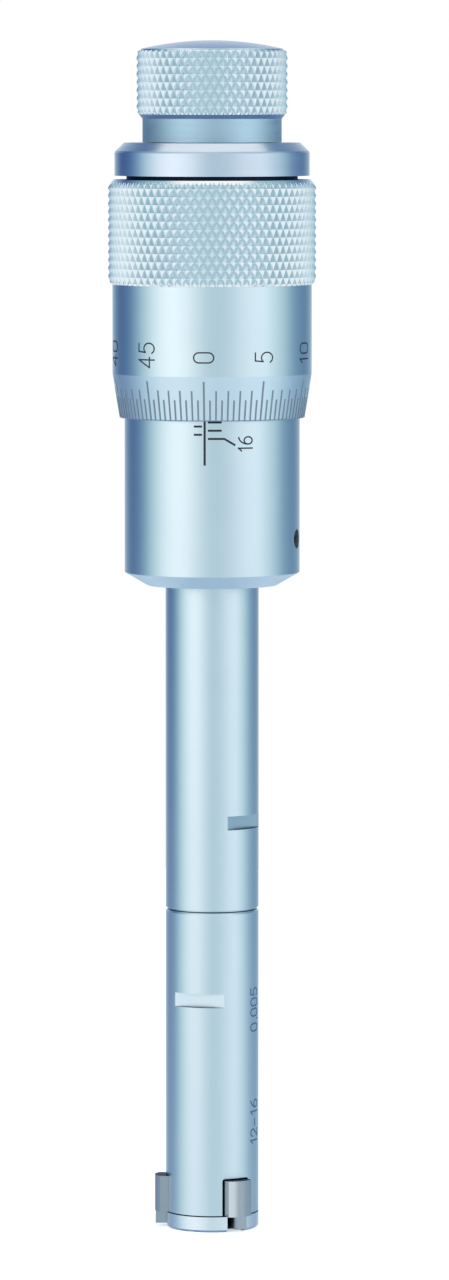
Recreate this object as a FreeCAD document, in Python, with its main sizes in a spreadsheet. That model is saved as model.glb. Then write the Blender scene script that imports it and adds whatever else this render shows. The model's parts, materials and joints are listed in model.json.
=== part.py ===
import FreeCAD, Part
import math
import os
from types import SimpleNamespace

import Sketcher

# A three-point inside micrometer for bores of 12 to 16 mm, standing on its measuring end at a reading of 14 mm.
# Millimetres. +Z runs up the axis from the end cap's foot. Azimuths are counted from the sleeve's datum line, which
# faces -Y, and grow towards +X.

SIZES = {
    # Measuring end
    "cap_height": 2.0,
    "cap_foot_chamfer": 0.3,
    "cap_joint_chamfer": 0.08,
    "cap_recess_radius": 2.3,
    "cap_slot_gap": 0.53,
    "cap_slot_end_gap": 0.3,
    "cap_screw_inset": 1.025,
    "cap_screw_radius": 0.48,
    "cap_screw_length": 3.6,
    "cap_screw_head_radius": 0.8,
    "cap_screw_head_height": 0.8,
    "cap_screw_sunk": 0.15,
    "head_radius": 5.725,
    "head_length": 37.6,
    "head_bore": 3.9,
    "head_socket_gap": 0.05,
    "head_socket_end_gap": 0.3,
    "joint_chamfer": 0.26,
    "head_flat_height": 25.85,
    "head_flat_azimuth": -14.0,
    "flat_width": 1.7,
    "flat_depth": 0.97,
    "window_side_gap": 0.2,
    "window_top_gap": 0.2,
    "window_corner_radius": 0.3,
    # Anvils, cone and rod
    "feed_travel": 2.0,
    "anvil_azimuth": 36.3,
    "contact_radius": 7.0,
    "blade_width": 1.38,
    "blade_proud": 0.25,
    "blade_depth": 2.4,
    "blade_top_drop": 0.12,
    "foot_level": 0.47,
    "shoe_width": 3.3,
    "shoe_height": 4.4,
    "shoe_lift": 0.05,
    "shoe_face_radius": 5.0,
    "shoe_edge_chamfer": 0.15,
    "nose_radius": 1.6,
    "nose_width": 1.4,
    "nose_length": 1.8,
    "cone_slope": 0.5,
    "cone_apex_level": 0.2,
    "cone_tip_radius": 1.25,
    "cone_tip_room": 0.2,
    "cone_body_gap": 0.6,
    "cone_body_length": 2.2,
    "cone_gap": 0.03,
    "cone_shank_radius": 2.0,
    "cone_shank_length": 15.0,
    "ring_spring_radius": 2.6,
    "ring_spring_wire": 0.5,
    "ring_groove_play": 0.05,
    "bush_length": 6.0,
    "lower_bush_room": 0.6,
    "upper_bush_drop": 7.6,
    "bush_press_gap": 0.02,
    "guide_gap": 0.05,
    "return_spring_inset": 0.9,
    "return_spring_wire": 0.7,
    "return_spring_turns": 6.0,
    "return_spring_length": 13.0,
    "rod_radius": 1.8,
    "rod_spigot_radius": 0.95,
    "rod_spigot_length": 4.0,
    "rod_flange_gap": 0.3,
    "rod_flange_height": 1.2,
    "ball_radius": 1.2,
    "ball_cup_depth": 0.8,
    # Shank, sleeve and thread
    "tube_length": 40.0,
    "tube_spigot_step": 1.125,
    "tube_spigot_length": 5.7,
    "tube_seat_step": 0.525,
    "tube_seat_end_gap": 0.4,
    "tube_flat_height": 10.15,
    "tube_flat_azimuth": 58.0,
    "sleeve_radius": 10.75,
    "sleeve_length": 43.9,
    "sleeve_floor": 10.4,
    "sleeve_wall": 2.25,
    "sleeve_foot_chamfer_width": 2.75,
    "sleeve_foot_chamfer": 1.6,
    "sleeve_top_chamfer": 0.3,
    "set_screw_height": 5.8,
    "set_screw_azimuth": 80.0,
    "set_screw_radius": 1.15,
    "set_screw_sunk": 0.35,
    "nut_seat_length": 10.0,
    "nut_room": 0.5,
    "nut_stem_step": 2.5,
    "nut_slit_width": 0.6,
    "nut_slit_length": 10.5,
    "ring_nut_gap": 0.9,
    "ring_nut_height": 5.0,
    "ring_nut_drop": 3.5,
    "ring_nut_notch_depth": 0.8,
    "ring_nut_notch_width": 1.4,
    "spindle_radius": 3.5,
    "spindle_start": 2.6,
    "spindle_shoulder_radius": 4.5,
    "spindle_shoulder_height": 1.6,
    "spindle_taper_radius": 4.2,
    "spindle_taper_drop": 0.5,
    "spindle_stud_radius": 2.5,
    "spindle_stud_end_gap": 0.3,
    # Thimble
    "thimble_edge_height": 20.6,
    "thimble_bore_gap": 0.25,
    "thimble_wall": 1.22,
    "thimble_edge_wall": 0.33,
    "thimble_lip": 0.12,
    "thimble_web": 2.5,
    "thimble_web_room": 1.1,
    "bevel_length": 5.4,
    "grip_ring_proud": 0.53,
    "grip_ring_length": 12.6,
    "grip_ring_seat_step": 0.27,
    "grip_ring_chamfer": 0.45,
    "collar_neck_step": 1.45,
    "collar_neck_height": 0.7,
    "collar_step": 0.27,
    "collar_band_height": 2.9,
    "collar_chamfer_height": 1.1,
    "collar_chamfer_width": 1.15,
    "collar_edge_share": 0.1,
    "collar_thread_depth": 3.5,
    # Force-limiting knob
    "knob_gap": 0.2,
    "knob_neck_step": 0.725,
    "knob_neck_height": 2.8,
    "knob_radius": 9.25,
    "knob_bevel_height": 0.45,
    "knob_height": 11.1,
    "knob_top_chamfer": 0.35,
    "knob_wall": 1.325,
    "knob_bore_step": 0.7,
    "knob_web_level": 2.2,
    "knob_web_height": 1.8,
    "knob_cap_seat_step": 0.7,
    "knob_cap_seat_depth": 0.7,
    "knob_cap_inset": 0.55,
    "knob_cap_foot_chamfer": 0.08,
    "knob_cap_height": 1.2,
    "knob_cap_crown": 37.0,
    "friction_disc_gap": 0.4,
    "axle_radius": 1.5,
    "axle_thread_radius": 1.35,
    "axle_thread_length": 4.8,
    "axle_hole_room": 1.6,
    "axle_shank_start": 1.0,
    "axle_head_radius": 3.2,
    "axle_head_height": 1.8,
    "axle_head_room": 1.0,
    "axle_slot_width": 0.8,
    "washer_radius": 4.6,
    "washer_height": 0.5,
    "knob_spring_radius": 2.6,
    "knob_spring_wire": 0.8,
    "knob_spring_turns": 2.5,
    "face_gap": 0.05,
    "thread_gap": 0.05,
    "overshoot": 1.0,
}


class Size:
    """A length or angle: its number, and the sheet expression that gives the same number."""

    def __init__(self, number, text):
        self.number = number
        self.text = text

    def __add__(self, other):
        other = as_size(other)
        return Size(self.number + other.number, f"({self.text} + {other.text})")

    def __sub__(self, other):
        other = as_size(other)
        return Size(self.number - other.number, f"({self.text} - {other.text})")

    def __mul__(self, factor):
        factor = as_size(factor)
        return Size(self.number * factor.number, f"({self.text} * {factor.text})")

    def __truediv__(self, divisor):
        divisor = as_size(divisor)
        return Size(self.number / divisor.number, f"({self.text} / {divisor.text})")

    def __neg__(self):
        return Size(-self.number, f"(0 - {self.text})")


def as_size(value):
    return value if isinstance(value, Size) else Size(float(value), repr(float(value)))


def fill_sheet(sheet):
    """One row a driving dimension: its name, and its number under an alias."""
    for row, (name, number) in enumerate(SIZES.items(), start=1):
        sheet.set(f"A{row}", name)
        sheet.set(f"B{row}", str(number))
        sheet.setAlias(f"B{row}", name)


doc = FreeCAD.newDocument("inside_micrometer")
sheet = doc.addObject("Spreadsheet::Sheet", "Sizes")
fill_sheet(sheet)
doc.recompute()
s = SimpleNamespace(**{name: Size(number, f"Sizes.{name}") for name, number in SIZES.items()})
ZERO = as_size(0)
ANVILS = 3
NUT_SLITS = 3
NUT_NOTCHES = 4
HEXAGON = 6
CLOSE = 0.001
subparts = []

# Radii and widths that follow from the driving ones
socket_radius = s.head_radius - s.tube_spigot_step + s.head_socket_gap
spigot_radius = s.head_radius - s.tube_spigot_step
seat_radius = s.head_radius - s.tube_seat_step
cone_body_radius = s.head_bore - s.cone_body_gap
anvil_travel = s.feed_travel * s.cone_slope
sleeve_bore = s.sleeve_radius - s.sleeve_wall
nut_stem_radius = sleeve_bore - s.nut_stem_step
thimble_bore = s.sleeve_radius + s.thimble_bore_gap
thimble_radius = thimble_bore + s.thimble_wall
grip_seat_radius = thimble_radius - s.grip_ring_seat_step
collar_radius = thimble_radius - s.collar_step
knob_neck_radius = s.knob_radius - s.knob_neck_step
knob_lower_bore = knob_neck_radius - s.knob_wall
cap_disc_radius = s.knob_radius - s.knob_cap_inset
cap_seat_radius = cap_disc_radius - s.knob_cap_seat_step
anvil_turn = s.anvil_azimuth - 90
screw_turn = anvil_turn + 180 / ANVILS
clear_of_head = s.head_radius + s.overshoot

# Levels up the axis, from the foot
head_top = s.cap_height + s.head_length
sleeve_foot = head_top + s.tube_length
sleeve_top = sleeve_foot + s.sleeve_length
nut_foot = sleeve_foot + s.sleeve_floor
thimble_edge = sleeve_foot + s.thimble_edge_height
web_level = sleeve_top + s.feed_travel + s.thimble_web_room
thimble_top = web_level + s.thimble_web
nut_top = web_level - s.spindle_shoulder_height - s.feed_travel - s.nut_room
ring_nut_level = nut_top - s.ring_nut_drop - s.ring_nut_height
ring_level = thimble_top - s.grip_ring_length
collar_top = thimble_top + s.collar_neck_height + s.collar_band_height + s.collar_chamfer_height
knob_level = collar_top + s.knob_gap
knob_top = knob_level + s.knob_height
web_foot = knob_level + s.knob_web_level
web_top = web_foot + s.knob_web_height
cone_tip = s.cone_apex_level + s.cone_tip_radius / s.cone_slope
cone_shoulder = s.cone_apex_level + cone_body_radius / s.cone_slope
shank_foot = cone_shoulder + s.cone_body_length
shank_top = shank_foot + s.cone_shank_length
spindle_foot = nut_foot + s.spindle_start
ball_level = spindle_foot + s.ball_cup_depth - s.ball_radius
rod_top = ball_level + s.ball_cup_depth - s.ball_radius
lower_bush_level = shank_foot + s.feed_travel + s.lower_bush_room
upper_bush_level = sleeve_foot - s.upper_bush_drop
return_spring_foot = lower_bush_level + s.bush_length
recess_floor = cone_tip - s.feed_travel - s.cone_tip_room
shoe_foot = s.cap_height + s.shoe_lift
shoe_top = shoe_foot + s.shoe_height
window_top = shoe_top + s.window_top_gap
axle_head_level = knob_top - s.knob_cap_seat_depth - s.axle_head_height - s.axle_head_room


def new_body(name):
    body = doc.addObject("PartDesign::Body", name)
    body.Label = name
    return body


def keep(subpart):
    subparts.append(subpart)
    return subpart


def origin_plane(body, role):
    return next(f for f in body.Origin.OriginFeatures if f.Role == role)


def new_sketch(body, name, role, level=ZERO, turn=ZERO):
    """A sketch on one of the body's planes, lifted along the plane's normal and turned about it."""
    sketch = body.newObject("Sketcher::SketchObject", name)
    sketch.AttachmentSupport = [(origin_plane(body, role), "")]
    sketch.MapMode = "FlatFace"
    lift = FreeCAD.Vector(0, 0, level.number)
    sketch.AttachmentOffset = FreeCAD.Placement(lift, FreeCAD.Rotation(FreeCAD.Vector(0, 0, 1), turn.number))
    if level.text != ZERO.text:
        sketch.setExpression("AttachmentOffset.Base.z", level.text)
    if turn.text != ZERO.text:
        sketch.setExpression("AttachmentOffset.Rotation.Angle", turn.text)
    return sketch


def tie(sketch, kind, edge, end, value):
    """Hold one end of an edge at a distance from the origin, or on the axis where the distance is nought."""
    if value.text == ZERO.text:
        axis = -2 if kind == "DistanceX" else -1
        sketch.addConstraint(Sketcher.Constraint("PointOnObject", edge, end, axis))
        return
    number = sketch.addConstraint(Sketcher.Constraint(kind, -1, 1, edge, end, value.number))
    sketch.setExpression(f"Constraints[{number}]", value.text)


def draw_outline(sketch, points):
    """A closed outline of straight lines through points (across, up), each corner tied to the sheet."""
    points = [(as_size(across), as_size(up)) for across, up in points]
    corners = [FreeCAD.Vector(across.number, up.number, 0) for across, up in points]
    first = sketch.GeometryCount
    count = len(points)
    for i in range(count):
        sketch.addGeometry(Part.LineSegment(corners[i], corners[(i + 1) % count]), False)
    for i in range(count):
        sketch.addConstraint(Sketcher.Constraint("Coincident", first + i, 2, first + (i + 1) % count, 1))
    for i, (across, up) in enumerate(points):
        tie(sketch, "DistanceX", first + i, 1, across)
        tie(sketch, "DistanceY", first + i, 1, up)


def draw_circle(sketch, across, up, radius):
    """A circle whose centre and radius are tied to the sheet."""
    edge = sketch.GeometryCount
    centre = FreeCAD.Vector(across.number, up.number, 0)
    sketch.addGeometry(Part.Circle(centre, FreeCAD.Vector(0, 0, 1), radius.number), False)
    tie(sketch, "DistanceX", edge, 3, across)
    tie(sketch, "DistanceY", edge, 3, up)
    number = sketch.addConstraint(Sketcher.Constraint("Radius", edge, radius.number))
    sketch.setExpression(f"Constraints[{number}]", radius.text)


def box_outline(low_across, high_across, low_up, high_up):
    return [(low_across, low_up), (high_across, low_up), (high_across, high_up), (low_across, high_up)]


def turned(name, outline):
    """A piece turned on a lathe: an outline of (radius, level) points swept once round the Z axis."""
    body = new_body(name)
    sketch = new_sketch(body, f"{name}_outline", "XZ_Plane")
    draw_outline(sketch, outline)
    revolution = body.newObject("PartDesign::Revolution", f"{name}_turning")
    revolution.Profile = sketch
    revolution.ReferenceAxis = (sketch, ["V_Axis"])
    revolution.Angle = 360
    body.Tip = revolution
    return keep(body)


def cut_up(body, name, sketch, height):
    """A pocket from the sketch upwards, checked to take material away."""
    doc.recompute()
    before = body.Shape.Volume
    pocket = body.newObject("PartDesign::Pocket", name)
    pocket.Profile = sketch
    pocket.Length = height.number
    pocket.setExpression("Length", height.text)
    pocket.Reversed = True
    body.Tip = pocket
    doc.recompute()
    if not body.Shape.Volume < before:
        raise RuntimeError(f"{name} cuts nothing")
    return pocket


def round_the_axis(body, name, feature, sketch, count):
    """Copies of a cut, evenly spaced about the Z axis."""
    pattern = body.newObject("PartDesign::PolarPattern", name)
    pattern.Originals = [feature]
    pattern.Axis = (sketch, ["N_Axis"])
    pattern.Angle = 360
    pattern.Occurrences = count
    body.Tip = pattern
    doc.recompute()
    return pattern


def spanner_flats(body, name, level, azimuth):
    """Two parallel flats milled across a round shank."""
    sketch = new_sketch(body, f"{name}_outline", "XY_Plane", level, azimuth - 90)
    half_chord = s.head_radius
    across = s.head_radius - s.flat_depth
    draw_outline(sketch, box_outline(across, clear_of_head, -half_chord, half_chord))
    draw_outline(sketch, box_outline(-clear_of_head, -across, -half_chord, half_chord))
    cut_up(body, name, sketch, s.flat_width)


def end_cap():
    radius = s.head_radius
    body = turned("end_cap", [
        (ZERO, ZERO),
        (radius - s.cap_foot_chamfer, ZERO),
        (radius, s.cap_foot_chamfer),
        (radius, s.cap_height - s.cap_joint_chamfer),
        (radius - s.cap_joint_chamfer, s.cap_height),
        (s.cap_recess_radius, s.cap_height),
        (s.cap_recess_radius, recess_floor),
        (ZERO, recess_floor),
    ])
    slot = new_sketch(body, "cap_slot_outline", "XY_Plane", ZERO, anvil_turn)
    half = s.blade_width / 2 + s.cap_slot_gap
    start = s.contact_radius - s.blade_depth - anvil_travel - s.cap_slot_end_gap
    draw_outline(slot, box_outline(start, clear_of_head, -half, half))
    first = cut_up(body, "cap_slot", slot, s.cap_height)
    round_the_axis(body, "cap_slots", first, slot, ANVILS)
    hole = new_sketch(body, "cap_hole_outline", "XY_Plane", ZERO, screw_turn)
    draw_circle(hole, radius - s.cap_screw_inset, ZERO, s.cap_screw_radius + s.thread_gap)
    first = cut_up(body, "cap_hole", hole, s.cap_height)
    round_the_axis(body, "cap_holes", first, hole, ANVILS)
    bore = new_sketch(body, "cap_counterbore_outline", "XY_Plane", ZERO, screw_turn)
    draw_circle(bore, radius - s.cap_screw_inset, ZERO, s.cap_screw_head_radius + s.thread_gap)
    first = cut_up(body, "cap_counterbore", bore, s.cap_screw_sunk + s.cap_screw_head_height)
    round_the_axis(body, "cap_counterbores", first, bore, ANVILS)


def cap_screws():
    """Three socket screws, sunk in the end cap's foot and screwed up into the head's wall."""
    body = new_body("cap_screw")
    circle = s.head_radius - s.cap_screw_inset
    head = new_sketch(body, "cap_screw_head_outline", "XY_Plane", s.cap_screw_sunk, screw_turn)
    draw_circle(head, circle, ZERO, s.cap_screw_head_radius)
    pad = body.newObject("PartDesign::Pad", "cap_screw_head")
    pad.Profile = head
    pad.setExpression("Length", s.cap_screw_head_height.text)
    shank = new_sketch(body, "cap_screw_shank_outline", "XY_Plane", s.cap_screw_sunk, screw_turn)
    draw_circle(shank, circle, ZERO, s.cap_screw_radius)
    stem = body.newObject("PartDesign::Pad", "cap_screw_shank")
    stem.Profile = shank
    stem.setExpression("Length", s.cap_screw_length.text)
    body.Tip = stem
    doc.recompute()
    one = body.Shape
    group = doc.addObject("Part::Feature", "cap_screws")
    turn = 360 / ANVILS
    copies = [one.copy() for _ in range(ANVILS)]
    for i, copy in enumerate(copies):
        copy.rotate(FreeCAD.Vector(0, 0, 0), FreeCAD.Vector(0, 0, 1), i * turn)
    group.Shape = Part.makeCompound(copies)
    group.Label = "cap_screws"
    keep(group)


def head_body():
    radius = s.head_radius
    socket_floor = head_top - s.tube_spigot_length - s.head_socket_end_gap
    body = turned("head_body", [
        (s.head_bore, s.cap_height),
        (radius - s.cap_joint_chamfer, s.cap_height),
        (radius, s.cap_height + s.cap_joint_chamfer),
        (radius, head_top - s.joint_chamfer),
        (radius - s.joint_chamfer, head_top),
        (socket_radius, head_top),
        (socket_radius, socket_floor),
        (s.head_bore, socket_floor),
    ])
    window = new_sketch(body, "window_outline", "XY_Plane", s.cap_height, anvil_turn)
    half = s.shoe_width / 2 + s.window_side_gap
    draw_outline(window, box_outline(ZERO, clear_of_head, -half, half))
    first = cut_up(body, "window", window, window_top - s.cap_height)
    windows = round_the_axis(body, "windows", first, window, ANVILS)
    corners = body.newObject("PartDesign::Fillet", "window_corners")
    corners.Base = (windows, straight_edges_at(windows.Shape, window_top))
    corners.setExpression("Radius", s.window_corner_radius.text)
    doc.recompute()
    hole = new_sketch(body, "head_screw_outline", "XY_Plane", s.cap_height, screw_turn)
    draw_circle(hole, radius - s.cap_screw_inset, ZERO, s.cap_screw_radius + s.thread_gap / 2)
    first = cut_up(body, "head_screw_hole", hole, s.cap_screw_length)
    round_the_axis(body, "head_screw_holes", first, hole, ANVILS)
    spanner_flats(body, "head_flats", s.cap_height + s.head_flat_height, s.head_flat_azimuth)


def straight_edges_at(shape, level):
    """Names of the straight edges that lie flat at a level."""
    names = []
    for number, edge in enumerate(shape.Edges, start=1):
        flat = all(abs(v.Z - level.number) < CLOSE for v in edge.Vertexes)
        if flat and isinstance(edge.Curve, Part.Line):
            names.append(f"Edge{number}")
    return names


def edges_beyond(shape, across):
    """Names of the edges whose ends all lie at least this far out along X."""
    names = []
    for number, edge in enumerate(shape.Edges, start=1):
        if all(v.X > across - CLOSE for v in edge.Vertexes):
            names.append(f"Edge{number}")
    return names


def anvil(number):
    """A shoe that slides in its window, with a sloped nose on the cone and a narrow blade that runs past the cap."""
    name = f"anvil_{number}"
    body = new_body(name)
    half = s.shoe_width / 2
    nose_half = s.nose_width / 2
    face = s.contact_radius - s.blade_proud
    plan = new_sketch(body, f"{name}_plan", "XY_Plane", shoe_foot)
    draw_shoe_plan(plan, face, half, nose_half)
    shoe = body.newObject("PartDesign::Pad", f"{name}_shoe")
    shoe.Profile = plan
    shoe.setExpression("Length", s.shoe_height.text)
    doc.recompute()
    rim = body.newObject("PartDesign::Chamfer", f"{name}_rim")
    rim.Base = (shoe, edges_beyond(shoe.Shape, flank_end(face, half)))
    rim.setExpression("Size", s.shoe_edge_chamfer.text)
    blade_plan = new_sketch(body, f"{name}_blade_plan", "XY_Plane", s.foot_level)
    blade_half = s.blade_width / 2
    draw_outline(blade_plan, box_outline(s.contact_radius - s.blade_depth, s.contact_radius, -blade_half, blade_half))
    blade = body.newObject("PartDesign::Pad", f"{name}_blade")
    blade.Profile = blade_plan
    blade.setExpression("Length", (shoe_top - s.foot_level - s.blade_top_drop).text)
    body.Tip = blade
    doc.recompute()
    before = body.Shape.Volume
    slope = new_sketch(body, f"{name}_slope_outline", "XZ_Plane")
    nose_foot = s.cone_apex_level + (s.nose_radius - s.cone_gap) / s.cone_slope
    above = shoe_top + s.overshoot
    reach = (above - s.cone_apex_level) * s.cone_slope + s.cone_gap
    draw_outline(slope, [(s.nose_radius, nose_foot), (reach, above), (s.nose_radius, above)])
    cut = body.newObject("PartDesign::Pocket", f"{name}_slope")
    cut.Profile = slope
    cut.setExpression("Length", (s.shoe_width * 2).text)
    cut.Midplane = True
    body.Tip = cut
    doc.recompute()
    groove_outline = new_sketch(body, f"{name}_groove_outline", "XZ_Plane")
    reach = s.ring_spring_wire / 2 + s.ring_groove_play
    draw_outline(groove_outline, box_outline(
        s.ring_spring_radius - reach, s.ring_spring_radius + reach,
        shoe_foot - s.overshoot, shoe_foot + reach * 2 + s.shoe_lift))
    groove = body.newObject("PartDesign::Groove", f"{name}_groove")
    groove.Profile = groove_outline
    groove.ReferenceAxis = (groove_outline, ["V_Axis"])
    groove.Angle = 360
    body.Tip = groove
    doc.recompute()
    if not body.Shape.Volume < before:
        raise RuntimeError(f"{name} keeps its square nose")
    body.Placement = FreeCAD.Placement(FreeCAD.Vector(), FreeCAD.Rotation(FreeCAD.Vector(0, 0, 1), 0))
    body.setExpression("Placement.Rotation.Angle", (anvil_turn + (number - 1) * 360 / ANVILS).text)
    keep(body)


def flank_end(face, half):
    """How far out the shoe's crowned face meets its flanks."""
    crown = s.shoe_face_radius.number
    return face.number - crown + math.sqrt(crown ** 2 - half.number ** 2)


def draw_shoe_plan(sketch, face, half, nose_half):
    """The shoe from above: a blunt wedge inside, parallel flanks in the window and a crowned face outside."""
    nose_end = s.nose_radius + s.nose_length
    outer = as_size(flank_end(face, half))
    corners = [
        (s.nose_radius, -nose_half),
        (nose_end, -half),
        (outer, -half),
        (outer, half),
        (nose_end, half),
        (s.nose_radius, nose_half),
    ]
    count = len(corners)
    points = [FreeCAD.Vector(across.number, up.number, 0) for across, up in corners]
    middle = FreeCAD.Vector(face.number, 0, 0)
    crown = next(i for i in range(count) if corners[i][0] is outer)
    for i in range(count):
        end = points[(i + 1) % count]
        side = Part.Arc(points[i], middle, end) if i == crown else Part.LineSegment(points[i], end)
        sketch.addGeometry(side, False)
    for i, (across, up) in enumerate(corners):
        sketch.addConstraint(Sketcher.Constraint("Coincident", i, 2, (i + 1) % count, 1))
        if across is not outer:
            tie(sketch, "DistanceX", i, 1, across)
        tie(sketch, "DistanceY", i, 1, up)
    tie(sketch, "DistanceX", crown, 3, face - s.shoe_face_radius)
    tie(sketch, "DistanceY", crown, 3, ZERO)
    radius = sketch.addConstraint(Sketcher.Constraint("Radius", crown, s.shoe_face_radius.number))
    sketch.setExpression(f"Constraints[{radius}]", s.shoe_face_radius.text)


def coil(name, radius, wire, foot, length, turns):
    """A helical spring: a round wire swept up a helix between its two seats."""
    body = new_body(name)
    outline = new_sketch(body, f"{name}_wire", "XZ_Plane")
    draw_circle(outline, radius, foot + wire / 2, wire / 2)
    helix = body.newObject("PartDesign::AdditiveHelix", f"{name}_helix")
    helix.Profile = outline
    helix.ReferenceAxis = (outline, ["V_Axis"])
    helix.Mode = "height-turns-angle"
    helix.setExpression("Height", (length - wire).text)
    helix.setExpression("Turns", turns.text)
    body.Tip = helix
    return keep(body)


def ring_spring():
    """A closed ring of spring wire that lies in a groove under the three noses."""
    ring = doc.addObject("Part::Torus", "anvil_ring_spring")
    ring.Label = "anvil_ring_spring"
    ring.setExpression("Radius1", s.ring_spring_radius.text)
    ring.setExpression("Radius2", (s.ring_spring_wire / 2).text)
    level = shoe_foot + s.ring_spring_wire / 2 + s.ring_groove_play
    ring.setExpression("Placement.Base.z", level.text)
    keep(ring)


def measuring_cone():
    hole = s.rod_spigot_radius + s.guide_gap
    hole_floor = shank_top - s.rod_spigot_length - s.guide_gap
    turned("measuring_cone", [
        (ZERO, cone_tip),
        (s.cone_tip_radius, cone_tip),
        (cone_body_radius, cone_shoulder),
        (cone_body_radius, shank_foot),
        (s.cone_shank_radius, shank_foot),
        (s.cone_shank_radius, shank_top),
        (hole, shank_top),
        (hole, hole_floor),
        (ZERO, hole_floor),
    ])


def guide_bush(name, level, bore):
    outside = s.head_bore - s.bush_press_gap
    turned(name, box_outline(bore + s.guide_gap, outside, level, level + s.bush_length))


def push_rod():
    flange_foot = return_spring_foot + s.return_spring_length
    flange_radius = s.head_bore - s.rod_flange_gap
    cup = s.ball_radius + s.guide_gap
    turned("push_rod", [
        (ZERO, shank_top - s.rod_spigot_length),
        (s.rod_spigot_radius, shank_top - s.rod_spigot_length),
        (s.rod_spigot_radius, shank_top),
        (s.rod_radius, shank_top),
        (s.rod_radius, flange_foot),
        (flange_radius, flange_foot),
        (flange_radius, flange_foot + s.rod_flange_height),
        (s.rod_radius, flange_foot + s.rod_flange_height),
        (s.rod_radius, rod_top),
        (cup, rod_top),
        (cup, rod_top - s.ball_cup_depth),
        (ZERO, rod_top - s.ball_cup_depth),
    ])


def thrust_ball():
    ball = doc.addObject("Part::Sphere", "thrust_ball")
    ball.Label = "thrust_ball"
    ball.setExpression("Radius", (s.ball_radius - s.guide_gap / 2).text)
    ball.setExpression("Placement.Base.z", ball_level.text)
    keep(ball)


def upper_tube():
    radius = s.head_radius
    body = turned("upper_tube", [
        (s.head_bore, head_top - s.tube_spigot_length),
        (spigot_radius, head_top - s.tube_spigot_length),
        (spigot_radius, head_top),
        (radius - s.joint_chamfer, head_top),
        (radius, head_top + s.joint_chamfer),
        (radius, sleeve_foot),
        (seat_radius, sleeve_foot),
        (seat_radius, nut_foot - s.tube_seat_end_gap),
        (s.head_bore, nut_foot - s.tube_seat_end_gap),
    ])
    spanner_flats(body, "tube_flats", head_top + s.tube_flat_height, s.tube_flat_azimuth)


def sleeve():
    hole = seat_radius + s.thread_gap
    body = turned("sleeve", [
        (hole, sleeve_foot),
        (s.sleeve_radius - s.sleeve_foot_chamfer_width, sleeve_foot),
        (s.sleeve_radius, sleeve_foot + s.sleeve_foot_chamfer),
        (s.sleeve_radius, sleeve_top - s.sleeve_top_chamfer),
        (s.sleeve_radius - s.sleeve_top_chamfer, sleeve_top),
        (sleeve_bore, sleeve_top),
        (sleeve_bore, nut_foot),
        (hole, nut_foot),
    ])
    doc.recompute()
    before = body.Shape.Volume
    sketch = new_sketch(body, "set_screw_hole_outline", "XZ_Plane")
    upright = FreeCAD.Rotation(FreeCAD.Vector(0, 1, 0), s.set_screw_azimuth.number)
    sketch.AttachmentOffset = FreeCAD.Placement(FreeCAD.Vector(), upright)
    sketch.setExpression("AttachmentOffset.Rotation.Angle", s.set_screw_azimuth.text)
    draw_circle(sketch, ZERO, sleeve_foot + s.set_screw_height, s.set_screw_radius + s.thread_gap)
    pocket = body.newObject("PartDesign::Pocket", "set_screw_hole")
    pocket.Profile = sketch
    pocket.setExpression("Length", (s.sleeve_radius * 2).text)
    pocket.Reversed = True
    body.Tip = pocket
    doc.recompute()
    if not body.Shape.Volume < before:
        raise RuntimeError("the set screw's hole cuts nothing")


def set_screw():
    """A headless socket screw that bears on the tube's seat through the sleeve's wall."""
    inner = seat_radius + s.thread_gap
    length = s.sleeve_radius - s.set_screw_sunk - inner
    corner = s.set_screw_radius / 2
    depth = s.set_screw_radius
    body = turned("sleeve_set_screw", [
        (ZERO, ZERO),
        (s.set_screw_radius, ZERO),
        (s.set_screw_radius, length),
        (ZERO, length),
    ])
    sketch = new_sketch(body, "socket_outline", "XY_Plane", length - depth)
    step = 2 * math.pi / HEXAGON
    draw_outline(sketch, [
        (corner * math.cos((i + 0.5) * step), corner * math.sin((i + 0.5) * step)) for i in range(HEXAGON)
    ])
    cut_up(body, "set_screw_socket", sketch, depth)
    azimuth = s.set_screw_azimuth.text
    level = sleeve_foot + s.set_screw_height
    seat = f"vector({inner.text} * sin({azimuth}); -{inner.text} * cos({azimuth}); {level.text})"
    lean = f"rotation(vector(cos({azimuth}); sin({azimuth}); 0); 90)"
    body.setExpression("Placement", f"placement({seat}; {lean})")


def nut_body():
    seat = sleeve_bore - s.thread_gap
    bore = s.spindle_radius + s.guide_gap
    body = turned("nut_body", [
        (bore, nut_foot),
        (seat, nut_foot),
        (seat, nut_foot + s.nut_seat_length),
        (nut_stem_radius, nut_foot + s.nut_seat_length),
        (nut_stem_radius, nut_top),
        (bore, nut_top),
    ])
    slit = new_sketch(body, "nut_slit_outline", "XY_Plane", nut_top - s.nut_slit_length)
    half = s.nut_slit_width / 2
    draw_outline(slit, box_outline(ZERO, nut_stem_radius + s.overshoot, -half, half))
    first = cut_up(body, "nut_slit", slit, s.nut_slit_length)
    round_the_axis(body, "nut_slits", first, slit, NUT_SLITS)


def adjusting_nut():
    """A slotted ring nut that closes the split nut on the spindle."""
    radius = sleeve_bore - s.ring_nut_gap
    body = turned("adjusting_nut", box_outline(
        nut_stem_radius + s.thread_gap, radius, ring_nut_level, ring_nut_level + s.ring_nut_height))
    notch = new_sketch(body, "ring_nut_notch_outline", "XY_Plane", ring_nut_level + s.ring_nut_height / 2)
    half = s.ring_nut_notch_width / 2
    draw_outline(notch, box_outline(radius - s.ring_nut_notch_depth, radius + s.overshoot, -half, half))
    first = cut_up(body, "ring_nut_notch", notch, s.ring_nut_height)
    round_the_axis(body, "ring_nut_notches", first, notch, NUT_NOTCHES)


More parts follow.
